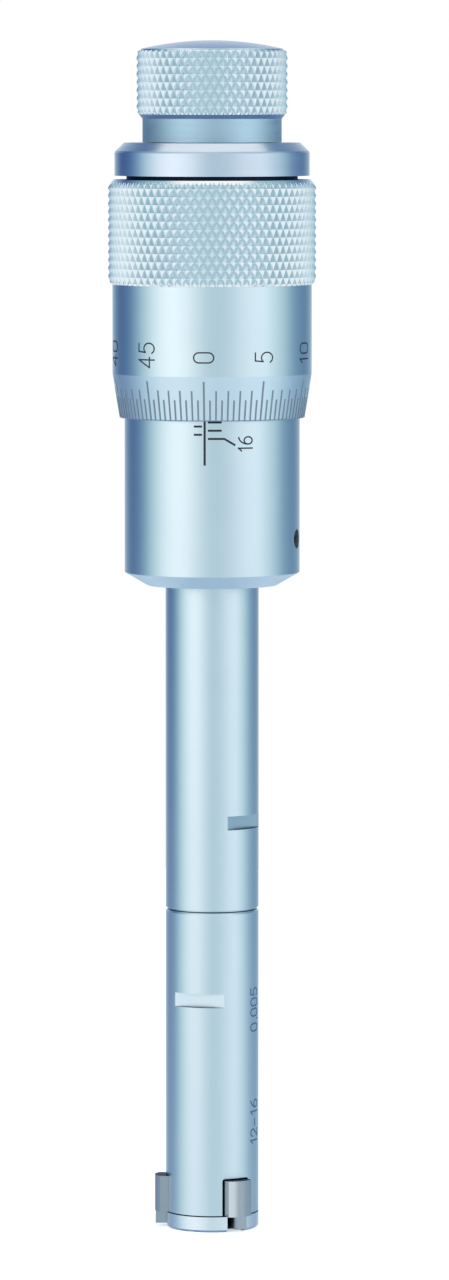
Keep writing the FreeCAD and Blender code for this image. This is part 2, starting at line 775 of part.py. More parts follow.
def spindle():
    cup = s.ball_radius + s.guide_gap
    stud_top = thimble_top + s.collar_thread_depth - s.spindle_stud_end_gap
    hole = s.axle_thread_radius + s.thread_gap
    hole_floor = collar_top - s.axle_thread_length - s.axle_hole_room
    taper_end = s.spindle_taper_radius - s.spindle_taper_drop
    turned("spindle", [
        (ZERO, spindle_foot + s.ball_cup_depth),
        (cup, spindle_foot + s.ball_cup_depth),
        (cup, spindle_foot),
        (s.spindle_radius, spindle_foot),
        (s.spindle_radius, web_level - s.spindle_shoulder_height),
        (s.spindle_shoulder_radius, web_level - s.spindle_shoulder_height),
        (s.spindle_shoulder_radius, web_level),
        (s.spindle_taper_radius, web_level),
        (taper_end, thimble_top),
        (s.spindle_stud_radius, thimble_top),
        (s.spindle_stud_radius, stud_top),
        (hole, stud_top),
        (hole, hole_floor),
        (ZERO, hole_floor),
    ])


def thimble():
    lip = s.thimble_lip
    edge_radius = thimble_bore + s.thimble_edge_wall
    taper_end = s.spindle_taper_radius - s.spindle_taper_drop
    turned("thimble", [
        (thimble_bore, thimble_edge),
        (edge_radius - lip, thimble_edge),
        (edge_radius, thimble_edge + lip),
        (thimble_radius, thimble_edge + s.bevel_length),
        (thimble_radius, ring_level),
        (grip_seat_radius, ring_level),
        (grip_seat_radius, thimble_top),
        (taper_end + s.guide_gap, thimble_top),
        (s.spindle_taper_radius + s.guide_gap, web_level),
        (thimble_bore, web_level),
    ])


def knurled_ring():
    inside = grip_seat_radius + s.bush_press_gap
    outside = thimble_radius + s.grip_ring_proud
    edge = s.grip_ring_chamfer
    turned("knurled_ring", [
        (inside, ring_level),
        (outside - edge, ring_level),
        (outside, ring_level + edge),
        (outside, thimble_top - edge),
        (outside - edge, thimble_top),
        (inside, thimble_top),
    ])


def thimble_collar():
    thread = s.spindle_stud_radius + s.thread_gap
    axle_hole = s.axle_radius + s.guide_gap
    neck = collar_radius - s.collar_neck_step
    band_foot = thimble_top + s.collar_neck_height
    band_top = band_foot + s.collar_band_height
    edge_width = s.collar_chamfer_width * s.collar_edge_share
    edge_height = s.collar_chamfer_height * s.collar_edge_share
    turned("thimble_collar", [
        (thread, thimble_top),
        (neck, thimble_top),
        (neck, band_foot),
        (collar_radius, band_foot),
        (collar_radius, band_top - edge_height),
        (collar_radius - edge_width, band_top + edge_height),
        (collar_radius - s.collar_chamfer_width, collar_top),
        (axle_hole, collar_top),
        (axle_hole, thimble_top + s.collar_thread_depth),
        (thread, thimble_top + s.collar_thread_depth),
    ])


def friction_disc():
    turned("friction_disc", box_outline(
        s.axle_radius + s.guide_gap, knob_lower_bore - s.friction_disc_gap, collar_top, web_foot - s.face_gap))


def thrust_washer():
    foot = web_top + s.face_gap
    turned("thrust_washer", box_outline(
        s.axle_radius + s.guide_gap, s.washer_radius, foot, foot + s.washer_height))


def knob_axle_screw():
    thread_foot = collar_top - s.axle_thread_length
    shank_foot_level = collar_top - s.axle_shank_start
    body = turned("knob_axle_screw", [
        (ZERO, thread_foot),
        (s.axle_thread_radius, thread_foot),
        (s.axle_thread_radius, shank_foot_level),
        (s.axle_radius, shank_foot_level),
        (s.axle_radius, axle_head_level),
        (s.axle_head_radius, axle_head_level),
        (s.axle_head_radius, axle_head_level + s.axle_head_height),
        (ZERO, axle_head_level + s.axle_head_height),
    ])
    slot = new_sketch(body, "axle_slot_outline", "XY_Plane", axle_head_level + s.axle_head_height / 2)
    reach = s.axle_head_radius + s.overshoot
    half = s.axle_slot_width / 2
    draw_outline(slot, box_outline(-reach, reach, -half, half))
    cut_up(body, "axle_slot", slot, s.axle_head_height)


def ratchet_knob():
    bevel_foot = knob_level + s.knob_neck_height
    cap_seat = knob_top - s.knob_cap_seat_depth
    turned("ratchet_knob", [
        (knob_lower_bore, knob_level),
        (knob_neck_radius, knob_level),
        (knob_neck_radius, bevel_foot),
        (s.knob_radius, bevel_foot + s.knob_bevel_height),
        (s.knob_radius, knob_top - s.knob_top_chamfer),
        (s.knob_radius - s.knob_top_chamfer, knob_top),
        (cap_seat_radius + s.bush_press_gap, knob_top),
        (cap_seat_radius + s.bush_press_gap, cap_seat),
        (knob_lower_bore - s.knob_bore_step, cap_seat),
        (knob_lower_bore - s.knob_bore_step, web_top),
        (s.axle_radius + s.guide_gap, web_top),
        (s.axle_radius + s.guide_gap, web_foot),
        (knob_lower_bore, web_foot),
    ])


def knob_cap():
    """A pressed-in disc with a shallow crown: the turned disc is cut by a ball of the crown's radius."""
    seat = knob_top - s.knob_cap_seat_depth
    top = knob_top + s.knob_cap_height
    disc = turned("knob_cap_disc", [
        (ZERO, seat),
        (cap_seat_radius, seat),
        (cap_seat_radius, knob_top),
        (cap_disc_radius - s.knob_cap_foot_chamfer, knob_top),
        (cap_disc_radius, knob_top + s.knob_cap_foot_chamfer),
        (cap_disc_radius, top),
        (ZERO, top),
    ])
    subparts.remove(disc)
    ball = doc.addObject("Part::Sphere", "knob_crown")
    ball.setExpression("Radius", s.knob_cap_crown.text)
    ball.setExpression("Placement.Base.z", (top - s.knob_cap_crown).text)
    cap = doc.addObject("Part::Common", "knob_cap")
    cap.Base = disc
    cap.Tool = ball
    cap.Label = "knob_cap"
    keep(cap)


def build():
    end_cap()
    cap_screws()
    head_body()
    for number in range(1, ANVILS + 1):
        anvil(number)
    ring_spring()
    measuring_cone()
    guide_bush("lower_guide_bush", lower_bush_level, s.cone_shank_radius)
    guide_bush("upper_guide_bush", upper_bush_level, s.rod_radius)
    coil("return_spring", s.head_bore - s.return_spring_inset, s.return_spring_wire, return_spring_foot,
         s.return_spring_length, s.return_spring_turns)
    push_rod()
    thrust_ball()
    upper_tube()
    sleeve()
    set_screw()
    nut_body()
    adjusting_nut()
    spindle()
    thimble()
    knurled_ring()
    thimble_collar()
    friction_disc()
    thrust_washer()
    spring_foot = web_top + s.face_gap * 2 + s.washer_height
    coil("knob_spring", s.knob_spring_radius, s.knob_spring_wire, spring_foot,
         axle_head_level - spring_foot, s.knob_spring_turns)
    knob_axle_screw()
    ratchet_knob()
    knob_cap()


def check_and_write():
    """Refuse a failed object or a broken shape, then write one file a sub-part."""
    doc.recompute()
    failed = [o.Name for o in doc.Objects if "Invalid" in o.State or "Error" in o.State]
    broken = [p.Label for p in subparts if p.Shape.isNull() or not p.Shape.isValid()]
    if failed or broken:
        raise RuntimeError(f"failed objects {failed}, broken shapes {broken}")
    os.makedirs("parts", exist_ok=True)
    for subpart in subparts:
        subpart.Shape.exportStep(f"parts/{subpart.Label}.step")
    print(len(subparts), "sub-parts written")


build()
check_and_write()
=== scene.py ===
import json
import math

import bpy
import numpy as np
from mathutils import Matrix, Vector


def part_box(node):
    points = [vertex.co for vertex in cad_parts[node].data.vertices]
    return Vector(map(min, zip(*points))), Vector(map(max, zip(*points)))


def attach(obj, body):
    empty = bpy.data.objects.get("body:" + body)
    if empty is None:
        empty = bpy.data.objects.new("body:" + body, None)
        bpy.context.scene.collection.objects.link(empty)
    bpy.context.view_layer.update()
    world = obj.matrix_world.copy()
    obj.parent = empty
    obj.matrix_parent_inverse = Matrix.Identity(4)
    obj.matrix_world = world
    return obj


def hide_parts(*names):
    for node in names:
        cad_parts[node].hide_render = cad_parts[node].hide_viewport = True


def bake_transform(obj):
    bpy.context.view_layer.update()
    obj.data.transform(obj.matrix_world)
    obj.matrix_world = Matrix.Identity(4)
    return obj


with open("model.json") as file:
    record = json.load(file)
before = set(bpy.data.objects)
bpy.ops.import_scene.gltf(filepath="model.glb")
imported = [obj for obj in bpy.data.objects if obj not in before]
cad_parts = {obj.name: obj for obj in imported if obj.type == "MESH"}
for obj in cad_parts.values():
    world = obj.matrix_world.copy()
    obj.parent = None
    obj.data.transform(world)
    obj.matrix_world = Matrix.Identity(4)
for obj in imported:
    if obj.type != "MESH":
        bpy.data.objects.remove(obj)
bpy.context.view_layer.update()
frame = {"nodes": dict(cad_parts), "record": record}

# A three-point inside micrometer, dressed for a studio picture. Lengths here are in metres and are written as
# millimetres times MM. Azimuths are in degrees from the sleeve's datum line, which faces -Y, and grow towards +X.
MM = 0.001

# Camera: level with the collar, looking a little down at a point just right of the axis at half the object's height
CAMERA_AZIMUTH = 4.85
CAMERA_DISTANCE = 869 * MM
CAMERA_LEVEL = 141.1 * MM
LENS = 199.2
AIM_RIGHT = 1.52 * MM
AIM_LEVEL = 72.75 * MM

# Every finish: the size of its faint clouds and the depth of its grain
CLOUD = 6 * MM
GRAIN_DEPTH = 0.02 * MM
# A dark line painted as shade in a joint: its colour, and how far from its middle it starts and ends to fade
JOINT_SHADE_COLOUR = "#26334f"
JOINT_SHADE_FADE = (0.03 * MM, 0.09 * MM)

ANVILS = ("anvil_1", "anvil_2", "anvil_3")


def srgb(text):
    """An sRGB hex colour as linear red, green, blue and a full alpha."""
    channels = [int(text[i:i + 2], 16) / 255 for i in (1, 3, 5)]
    linear = [c / 12.92 if c <= 0.04045 else ((c + 0.055) / 1.055) ** 2.4 for c in channels]
    return (*linear, 1.0)


def add(tree, kind, inputs=None, **settings):
    """A node with its settings, and its inputs given as values or as other nodes' sockets."""
    node = tree.nodes.new(kind)
    for name, value in settings.items():
        setattr(node, name, value)
    for name, value in (inputs or {}).items():
        if isinstance(value, bpy.types.NodeSocket):
            tree.links.new(value, node.inputs[name])
        else:
            node.inputs[name].default_value = value
    return node


def empty_tree(owner):
    """The node tree of a material or world, with no nodes in it."""
    owner.use_nodes = True
    owner.node_tree.nodes.clear()
    return owner.node_tree


def placed(name, data):
    """An object of some data, in the scene."""
    thing = bpy.data.objects.new(name, data)
    bpy.context.scene.collection.objects.link(thing)
    return thing


def aimed(thing, goal):
    """Turn a lamp or camera to look at a point."""
    thing.rotation_euler = (Vector(goal) - thing.location).to_track_quat("-Z", "Y").to_euler()


def surface(name, pale, deep, smooth, rough, grain, stretch=(1, 1, 1), relief=0.05, metallic=1.0,
            second=None, joint_shade_level=None):
    """A material with fine grain and faint clouds.

    pale and deep are its two close colours, smooth and rough the range of its roughness, grain the size of its marks,
    stretch how they are drawn out along each axis (less than 1 is longer), and relief how much they catch the light.
    second is the colour where a piece's own attribute of that name is 1, as the painted shade in the grooves of
    knurling and the painted highlight on the anvils' edges, and the last argument is the level of a joint with a dark
    line painted as shade.
    """
    material = bpy.data.materials.new(name)
    tree = empty_tree(material)
    place = add(tree, "ShaderNodeTexCoord").outputs["Object"]
    drawn = add(tree, "ShaderNodeMapping", {"Vector": place, "Scale": stretch}).outputs["Vector"]
    marks = add(tree, "ShaderNodeTexNoise", {"Vector": drawn, "Scale": 1 / grain, "Detail": 2.0}).outputs["Fac"]
    clouds = add(tree, "ShaderNodeTexNoise", {"Vector": place, "Scale": 1 / CLOUD, "Detail": 3.0}).outputs["Fac"]
    colour = add(tree, "ShaderNodeMix", {"Factor": clouds, 6: srgb(deep), 7: srgb(pale)}, data_type="RGBA")
    colour = colour.outputs[2]
    if second:
        share = add(tree, "ShaderNodeAttribute", attribute_name="second").outputs["Fac"]
        colour = add(tree, "ShaderNodeMix", {"Factor": share, 6: colour, 7: srgb(second)}, data_type="RGBA").outputs[2]
    # Painted shade: a dark line at the joint's level, fading out to both sides
    if joint_shade_level is not None:
        level = add(tree, "ShaderNodeSeparateXYZ", {"Vector": place}).outputs["Z"]
        away = add(tree, "ShaderNodeMath", {0: level, 1: joint_shade_level}, operation="SUBTRACT").outputs["Value"]
        away = add(tree, "ShaderNodeMath", {0: away}, operation="ABSOLUTE").outputs["Value"]
        outside_joint_shade = add(tree, "ShaderNodeMapRange", {"Value": away, "From Min": JOINT_SHADE_FADE[0], "From Max": JOINT_SHADE_FADE[1]})
        outside_joint_shade = outside_joint_shade.outputs["Result"]
        colour = add(tree, "ShaderNodeMix", {"Factor": outside_joint_shade, 6: srgb(JOINT_SHADE_COLOUR), 7: colour}, data_type="RGBA").outputs[2]
    bump = add(tree, "ShaderNodeBump", {"Height": marks, "Strength": relief, "Distance": GRAIN_DEPTH})
    gloss = add(tree, "ShaderNodeMapRange", {
        "Value": marks, "From Min": 0.3, "From Max": 0.7, "To Min": smooth, "To Max": rough})
    shader = add(tree, "ShaderNodeBsdfPrincipled", {
        "Base Color": colour, "Metallic": metallic, "Roughness": gloss.outputs["Result"],
        "Normal": bump.outputs["Normal"]})
    add(tree, "ShaderNodeOutputMaterial", {"Surface": shader.outputs["BSDF"]})
    return material


# Turned steel, fine blasted and plated with hard chrome: a pale, cool, silky metal without mirror images. The
# turning lines are far finer on the real one and are drawn as coarse as they need to be to show at all.
SATIN = dict(pale="#dfeef2", deep="#d9e9ee", smooth=0.28, rough=0.29, grain=0.3 * MM, stretch=(0.06, 0.06, 1),
             relief=0.008)


def all_finishes():
    """The materials by the record's slots and by the parts of nodes that have one of their own."""
    return {
        "satin_chrome": surface("satin_chrome_plate", **SATIN),
        # The same plate where head and tube meet, with a dark line painted as shade at the bottom of the joint
        "joint": surface("chrome_plate_with_painted_joint_shade", joint_shade_level=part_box("head_body")[1].z, **SATIN),
        # The end cap's plate: a lighter copy of the satin plate, as painted light on the whole cap
        "cap": surface("chrome_plate_painted_lighter", "#f3fafc", "#eef7fa", 0.26, 0.28, 0.3 * MM, (0.06, 0.06, 1), 0.008),
        # The collar's plate, lapped a little smoother, so its sides show the dark gaps of the studio more clearly
        "collar": surface("lapped_chrome_plate", "#dde7f2", "#d7e2ee", 0.22, 0.27, 0.4 * MM, (0.04, 0.04, 1)),
        # Bevels left as blasted: matt and paler, without the streaks of light of the turned faces
        "blasted": surface("blasted_chrome_plate", "#d9ebf3", "#d2e6f0", 0.36, 0.42, 0.2 * MM),
        # The sleeve's bevel looks down: the same blasting in a bluer, slightly darker copy, painted as the shade of a
        # face that looks down
        "foot_bevel": surface("blasted_chrome_plate_painted_underside_shade", "#cce4f5", "#c4def2", 0.45, 0.55, 0.2 * MM),
        # The knob's neck, plated over coarse turning: duller and greyer, with its lights run together
        "neck": surface("turned_chrome_plate", "#a9c1cd", "#a3bbc9", 0.5, 0.6, 0.3 * MM, (0.05, 0.05, 1), 0.15),
        # Painted shade: a dark, bluish copy of the dull plate for bevels that look down, as the one under the knob's
        # knurling
        "bevel": surface("chrome_plate_painted_bluish_shade", "#8fa4cc", "#869bc5", 0.4, 0.5, 0.3 * MM),
        # Plate on rolled knurling: pale, with painted shade in the grooves, which take the darker second colour
        "knurled_chrome": surface("knurled_chrome_plate", "#f8fdfe", "#f2fafb", 0.15, 0.2, 0.2 * MM, relief=0.01,
                                  second="#e3eff3"),
        # Hardened steel ground round: neutral grey with fine scratches along the turn
        "ground_steel": surface("ground_hardened_steel", "#cfd8dd", "#c2ccd2", 0.26, 0.36, 0.12 * MM, (0.1, 0.1, 1),
                                0.12),
        # The anvils' steel, lapped up and down: a darker, neutral grey beside the plate, with a painted highlight on
        # the edges of their faces
        "anvil_steel": surface("lapped_anvil_steel", "#b1bbc0", "#a8b2b8", 0.25, 0.27, 0.15 * MM, (1, 1, 0.1), 0.02,
                               second="#f6f2f1"),
        # Painted shade: faces that lie in the shadow of a slot, groove or gap, painted black-blue
        "painted_shade": surface("black_blue_painted_shadow", "#253150", "#1c2740", 0.45, 0.6, 0.4 * MM),
        # Drawn wire: dark grey with a slight shine
        "spring_steel": surface("drawn_spring_wire", "#8b8f96", "#6f747c", 0.25, 0.4, 0.2 * MM),
        # Screws blackened in a hot salt bath: near black with a faint oily sheen
        "black_steel": surface("black_oxide_steel", "#191b1f", "#0e0f12", 0.45, 0.6, 0.3 * MM),
        # Sintered bearing bronze: a warm brown with a dull face
        "bronze": surface("sintered_bronze", "#a67c4a", "#8d6638", 0.35, 0.5, 0.4 * MM),
        # Lacquer wiped into engraved lines: matt, and slightly uneven in its cover
        "black_ink": surface("black_marking_lacquer", "#14171d", "#0d0f13", 0.5, 0.65, 0.15 * MM, metallic=0.0),
        "grey_ink": surface("grey_marking_lacquer", "#76838f", "#687581", 0.5, 0.65, 0.15 * MM, metallic=0.0),
        # Numbers burnt thinly into the head: a blue-grey oxide instead of lacquer
        "head_ink": surface("burnt_blue_marking", "#45628d", "#3d5a83", 0.5, 0.65, 0.15 * MM, metallic=0.0),
    }


def round_points(radius, azimuth, level):
    """Points on rings about the axis, from radii, azimuths in radians and levels of one shape."""
    return np.stack([radius * np.sin(azimuth), -radius * np.cos(azimuth), level + 0 * radius], axis=-1)


def new_piece(name, points, faces, material, body=None):
    """A mesh from points and faces, which rides on a body if one is given."""
    mesh = bpy.data.meshes.new(name)
    mesh.from_pydata(points.reshape(-1, 3).tolist(), [], faces)
    mesh.materials.append(material)
    mesh.update()
    piece = placed(name, mesh)
    if body:
        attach(piece, body)
    return piece


def share_second(piece, shares):
    """Store how much of its material's second colour each point of a piece shows."""
    attribute = piece.data.attributes.new("second", "FLOAT", "POINT")
    attribute.data.foreach_set("value", shares.astype(np.float32).ravel())


def grid_faces(rows, columns, swap):
    """Two triangles to each cell of a grid that closes round the axis and runs on from its last row to its first.

    swap says for each cell which diagonal divides it.
    """
    row, column = np.meshgrid(np.arange(rows), np.arange(columns), indexing="ij")
    next_row, next_column = (row + 1) % rows, (column + 1) % columns
    a = row * columns + column
    b = row * columns + next_column
    c = next_row * columns + next_column
    d = next_row * columns + column
    low = np.where(swap[..., None], np.stack([a, b, d], -1), np.stack([a, b, c], -1))
    high = np.where(swap[..., None], np.stack([b, c, d], -1), np.stack([a, c, d], -1))
    return np.concatenate([low.reshape(-1, 3), high.reshape(-1, 3)]).tolist()


def paint_faces(piece, material, chosen):
    """Give one more material to the faces that chosen(radius, level, rise) picks, by each face's middle."""
    mesh = piece.data
    mesh.materials.append(material)
    slot = len(mesh.materials) - 1
    for face in mesh.polygons:
        middle = face.center
        if chosen(math.hypot(middle.x, middle.y), middle.z, abs(face.normal.z)):
            face.material_index = slot


# Knurling: mesh steps from a groove to the crest beside it, the height of half a diamond, the depth of the grooves,
# and the share of their slopes that is left where the tips are blunt
KNURL_STEPS = 4
KNURL_ROW = 0.97 * MM
KNURL_DEPTH = 0.42 * MM
KNURL_BLUNT = 0.94


def knurled_turning(name, before, after, foot, top, radius, teeth, foot_chamfer, top_chamfer, material, body):
    """A turned piece with diamond knurling on its widest stretch.

    Two sets of V grooves cross at a slant. With both grooves' distances scaled to run from 0 on a groove to 1 midway
    to the next one, the height of the surface over the grooves is the smaller of the two, cut off near the top where
    the tips are blunt. The chamfers at both ends cut through the knurling. before and after are the plain corners
    (radius, level) of the profile on each side of the knurling.
    """
    rows = max(1, round((top - foot) / KNURL_ROW)) * KNURL_STEPS
    columns = teeth * 2 * KNURL_STEPS
    level = np.linspace(foot, top, rows + 1)
    up = np.arange(rows + 1)[:, None] / KNURL_STEPS
    along = np.arange(columns)[None, :] / KNURL_STEPS
    rising = np.abs((along + up) % 2 - 1)
    falling = np.abs((along - up) % 2 - 1)
    height = np.minimum(np.minimum(rising, falling), KNURL_BLUNT) / KNURL_BLUNT
    knurl = radius - KNURL_DEPTH * (1 - height)
    chamfer = np.minimum(np.interp(level - foot, [0, foot_chamfer[1]], [radius - foot_chamfer[0], radius]),
                         np.interp(top - level, [0, top_chamfer[1]], [radius - top_chamfer[0], radius]))
    knurl = np.minimum(knurl, chamfer[:, None])
    # Painted shade: the deeper a point lies in a groove, the more of the darker second colour it takes
    shade = np.where(knurl < chamfer[:, None] - 0.001 * MM, 1 - height, 0.0)
    plain_before = np.array([[r] for r, z in before]) * np.ones((1, columns))
    plain_after = np.array([[r] for r, z in after]) * np.ones((1, columns))
    radii = np.concatenate([plain_before, knurl, plain_after])
    levels = np.concatenate([[z for r, z in before], level, [z for r, z in after]])
    azimuth = (np.arange(columns) * (2 * np.pi / columns))[None, :] + 0 * radii
    points = round_points(radii, azimuth, levels[:, None] + 0 * radii)
    cell_row = (np.arange(len(levels)) - len(before)) // KNURL_STEPS
    cell_column = np.arange(columns) // KNURL_STEPS
    swap = (cell_row[:, None] + cell_column[None, :]) % 2 == 0
    piece = new_piece(name, points, grid_faces(len(levels), columns, swap), material, body)
    share_second(piece, np.concatenate([0 * plain_before, shade, 0 * plain_after]))
    return piece


def arc(centre, reach, start, end, steps=16):
    """Points on an ellipse from one angle in degrees to another."""
    angle = np.radians(np.linspace(start, end, steps))
    return np.stack([centre[0] + reach[0] * np.cos(angle), centre[1] + reach[1] * np.sin(angle)], -1)


def line(*points):
    return np.array(points, float)


# Strokes of plain figures in a cell 1 high, as lists of points (along, up)
FIGURES = {
    "0": [np.concatenate([arc((0.25, 0.74), (0.25, 0.26), 0, 180), arc((0.25, 0.26), (0.25, 0.26), 180, 360),
                          line((0.5, 0.74))])],
    "1": [line((0.12, 0.8), (0.3, 1)), line((0.3, 1), (0.3, 0))],
    "2": [np.concatenate([arc((0.25, 0.73), (0.24, 0.27), 168, -32), line((0.01, 0))]), line((0.01, 0), (0.5, 0))],
    "3": [arc((0.24, 0.75), (0.23, 0.25), 150, -90), arc((0.24, 0.26), (0.26, 0.26), 90, -150)],
    "4": [line((0.38, 0), (0.38, 1)), line((0.38, 1), (0, 0.3)), line((0, 0.3), (0.5, 0.3))],
    "5": [line((0.47, 1), (0.08, 1)), line((0.08, 1), (0.04, 0.56)), arc((0.23, 0.33), (0.27, 0.33), 132, -145)],
    "6": [arc((0.25, 0.3), (0.25, 0.3), 0, 360, 25), arc((0.52, 0.3), (0.52, 0.7), 98, 178)],
    ".": [line((0.12, 0), (0.12, 0.1))],
    "-": [line((0.04, 0.45), (0.46, 0.45))],
}
# How far each figure moves the next one on, and the part of it that is the gap between them
ADVANCE = {".": 0.32, "1": 0.58}
PLAIN_ADVANCE = 0.71
FIGURE_GAP = 0.2
# How far the marks' ribbons stand out from their face, how thick they are and the longest step along them
MARK_LIFT = 0.014 * MM
MARK_DEPTH = 0.03 * MM
MARK_STEP = 0.3 * MM


def text_width(text, height):
    return height * (sum(ADVANCE.get(c, PLAIN_ADVANCE) for c in text) - FIGURE_GAP)


def upright_text(text, height, azimuth, level, radius):
    """Strokes of a number that reads up the axis, centred at an azimuth and level: its top points down the azimuths."""
    strokes, across = [], -text_width(text, height) / 2
    for character in text:
        for stroke in FIGURES[character]:
            round_way = radius * math.radians(azimuth) - (stroke[:, 1] - 0.5) * height
            strokes.append(np.stack([round_way, level + across + stroke[:, 0] * height], -1))
        across += ADVANCE.get(character, PLAIN_ADVANCE) * height
    return strokes


def upright_line(azimuth, low, high, radius):
    return line((radius * math.radians(azimuth), low), (radius * math.radians(azimuth), high))


def refined(stroke):
    """The stroke with points added so that none is further than MARK_STEP from the next."""
    parts = []
    for a, b in zip(stroke[:-1], stroke[1:]):
        count = max(1, math.ceil(np.linalg.norm(b - a) / MARK_STEP))
        parts.append(a + (b - a) * np.linspace(0, 1, count, endpoint=False)[:, None])
    return np.concatenate([*parts, stroke[-1:]])


def marks(name, strokes, widths, radius, radius_at, material, body):
    """Thin raised ribbons along strokes, which are laid round a turned face.

    A stroke's points are (distance round, level). Each stroke is divided finely, offset by half its width to both
    sides, and wrapped on the face, whose radius at each level radius_at gives.
    """
    points, faces = [], []
    for stroke, width in zip(strokes, widths):
        stroke = refined(stroke)
        tangent = np.gradient(stroke, axis=0)
        tangent /= np.linalg.norm(tangent, axis=1)[:, None]
        ends = stroke.copy()
        if not np.allclose(stroke[0], stroke[-1]):
            ends[0] -= tangent[0] * width / 2
            ends[-1] += tangent[-1] * width / 2
        side = np.stack([-tangent[:, 1], tangent[:, 0]], -1) * width / 2
        strip = np.stack([ends + side, ends - side], 1)
        wrapped = round_points(radius_at(strip[..., 1]) + MARK_LIFT, strip[..., 0] / radius, strip[..., 1])
        first = sum(len(p) for p in points)
        points.append(wrapped.reshape(-1, 3))
        count = len(stroke)
        faces += [(first + 2 * i, first + 2 * i + 1, first + 2 * i + 3, first + 2 * i + 2) for i in range(count - 1)]
    piece = new_piece(name, np.concatenate(points), faces, material, body)
    depth = piece.modifiers.new("depth", "SOLIDIFY")
    depth.thickness = MARK_DEPTH
    depth.offset = -1


def sleeve_marks(material):
    """The datum line, the lines of the millimetres and their halves, and the numbers at both ends of the range.

    The lines of whole millimetres run to the right of the datum line and those of the halves to its left.
    """
    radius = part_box("sleeve")[1].x
    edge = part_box("thimble")[0].z
    first, last, reading = 12, 16, 14
    datum_width, line_width, number_width, number_height = 0.27 * MM, 0.25 * MM, 0.18 * MM, 1.77 * MM
    datum_foot = edge - 5.25 * MM
    datum_top = edge + (reading - first + 1) * MM
    strokes, widths = [upright_line(0, datum_foot, datum_top, radius)], [datum_width]
    for half in range(2 * first, 2 * last + 1):
        level = edge - 0.15 * MM - (half / 2 - reading) * MM
        if half % 2:
            strokes.append(line((-1.2 * MM, level), (-0.45 * MM, level)))
        else:
            strokes.append(line((0.52 * MM, level), (1.95 * MM, level)))
        if half / 2 in (first, last):
            strokes.append(line((1.95 * MM, level), (2.4 * MM, level), (3.65 * MM, level - 0.73 * MM)))
            widths += [line_width] * (len(strokes) - len(widths))
            strokes += upright_text(str(half // 2), number_height, 27.0, level - 0.72 * MM, radius)
            widths += [number_width] * (len(strokes) - len(widths))
    marks("sleeve_scale", strokes, widths, radius, lambda z: radius + 0 * z, material, "frame")


def thimble_profile():
    """The thimble's bevel: edge radius, radius, edge level and the bevel's top level."""
    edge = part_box("thimble")[0].z
    return 11.33 * MM, 12.22 * MM, edge, edge + 5.4 * MM


def thimble_radius(level):
    edge_radius, radius, edge, bevel_top = thimble_profile()
    return np.interp(level, [edge, bevel_top], [edge_radius, radius])


def thimble_marks(line_ink, number_ink):
    """A hundred lines round the bevel, long at each fifth division, and the numbers above them."""
    edge_radius, radius, edge, bevel_top = thimble_profile()
    divisions = 100
    number_width, number_height = 0.17 * MM, 2.45 * MM
    lines, widths, numbers = [], [], []
    for i in range(divisions):
        azimuth = 360 / divisions * i
        height = 4.7 * MM if i % 10 == 0 else 3.6 * MM if i % 2 == 0 else 2.45 * MM
        lines.append(upright_line(azimuth, edge + 0.1 * MM, edge + height, radius))
        widths.append(0.24 * MM if i % 10 == 0 else 0.21 * MM)
        if i % 10 == 0:
            # Numbers of one figure sit a little lower
            middle = 7.75 * MM if i < 20 else 7.95 * MM
            numbers += upright_text(str(i // 2), number_height, azimuth, edge + middle, radius)
    marks("thimble_lines", lines, widths, radius, thimble_radius, line_ink, "thimble")
    marks("thimble_numbers", numbers, [number_width] * len(numbers), radius, thimble_radius, number_ink, "thimble")


def head_marks(material):
    """The measuring range and the value of one division, as plain numbers on the side of the head."""
    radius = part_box("head_body")[1].x
    height, width, azimuth = 1.8 * MM, 0.2 * MM, 70.0
    strokes = upright_text("0.005", height, azimuth, 27.3 * MM, radius)
    strokes += upright_text("12-16", height, azimuth, 13.3 * MM, radius)
    marks("head_numbers", strokes, [width] * len(strokes), radius, lambda z: radius + 0 * z, material, "frame")


def grip_ring(material):
    """The thimble's knurled grip ring."""
    low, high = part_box("knurled_ring")
    # The ring comes up to the collar but for a thin dark line
    radius, foot, top = high.x, low.z, high.z + 0.2 * MM
    inside, teeth = 11.97 * MM, 73
    foot_chamfer, top_chamfer = (0.45 * MM, 0.45 * MM), (0.62 * MM, 0.97 * MM)
    ring = knurled_turning("grip_ring_knurled", [(inside, foot)], [(inside, top)], foot, top, radius, teeth,
                           foot_chamfer, top_chamfer, material, "thimble")
    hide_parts("knurled_ring")


def knob(material, neck, bevel):
    """The force-limiting knob: a plain neck, a short bevel and the knurled grip, bored for its spring and screw."""
    low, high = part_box("ratchet_knob")
    radius, foot, top = high.x, low.z, high.z
    # The neck's skirt reaches down over most of the gap to the collar
    skirt = -0.6 * (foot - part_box("thimble_collar")[1].z) / MM
    neck_radius, neck_top, grip_foot, teeth = 8.525, 2.75, 3.25, 53
    # Corners (radius, level) in millimetres, from the knob's foot and from its top
    before = [(7.2, 2.2), (7.2, 0), (7.8, 0), (7.8, skirt), (neck_radius, skirt), (neck_radius, neck_top), (8.9, 3.2)]
    after = [(8.02, 0), (8.02, -0.7), (6.5, -0.7), (6.5, -7.1), (1.55, -7.1), (1.55, -8.9)]
    foot_chamfer, top_chamfer = (0.3 * MM, 0.25 * MM), (0.35 * MM, 0.35 * MM)
    piece = knurled_turning(
        "knob_knurled", [(r * MM, foot + z * MM) for r, z in before], [(r * MM, top + z * MM) for r, z in after],
        foot + grip_foot * MM, top, radius, teeth, foot_chamfer, top_chamfer, material, "knob")
    paint_faces(piece, neck, lambda r, z, rise: z < foot + neck_top * MM and r > 8.4 * MM)
    # The bevel under the grip takes the bevel finish's painted bluish shade
    paint_faces(piece, bevel, lambda r, z, rise: foot + neck_top * MM < z < foot + grip_foot * MM)
    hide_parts("ratchet_knob")


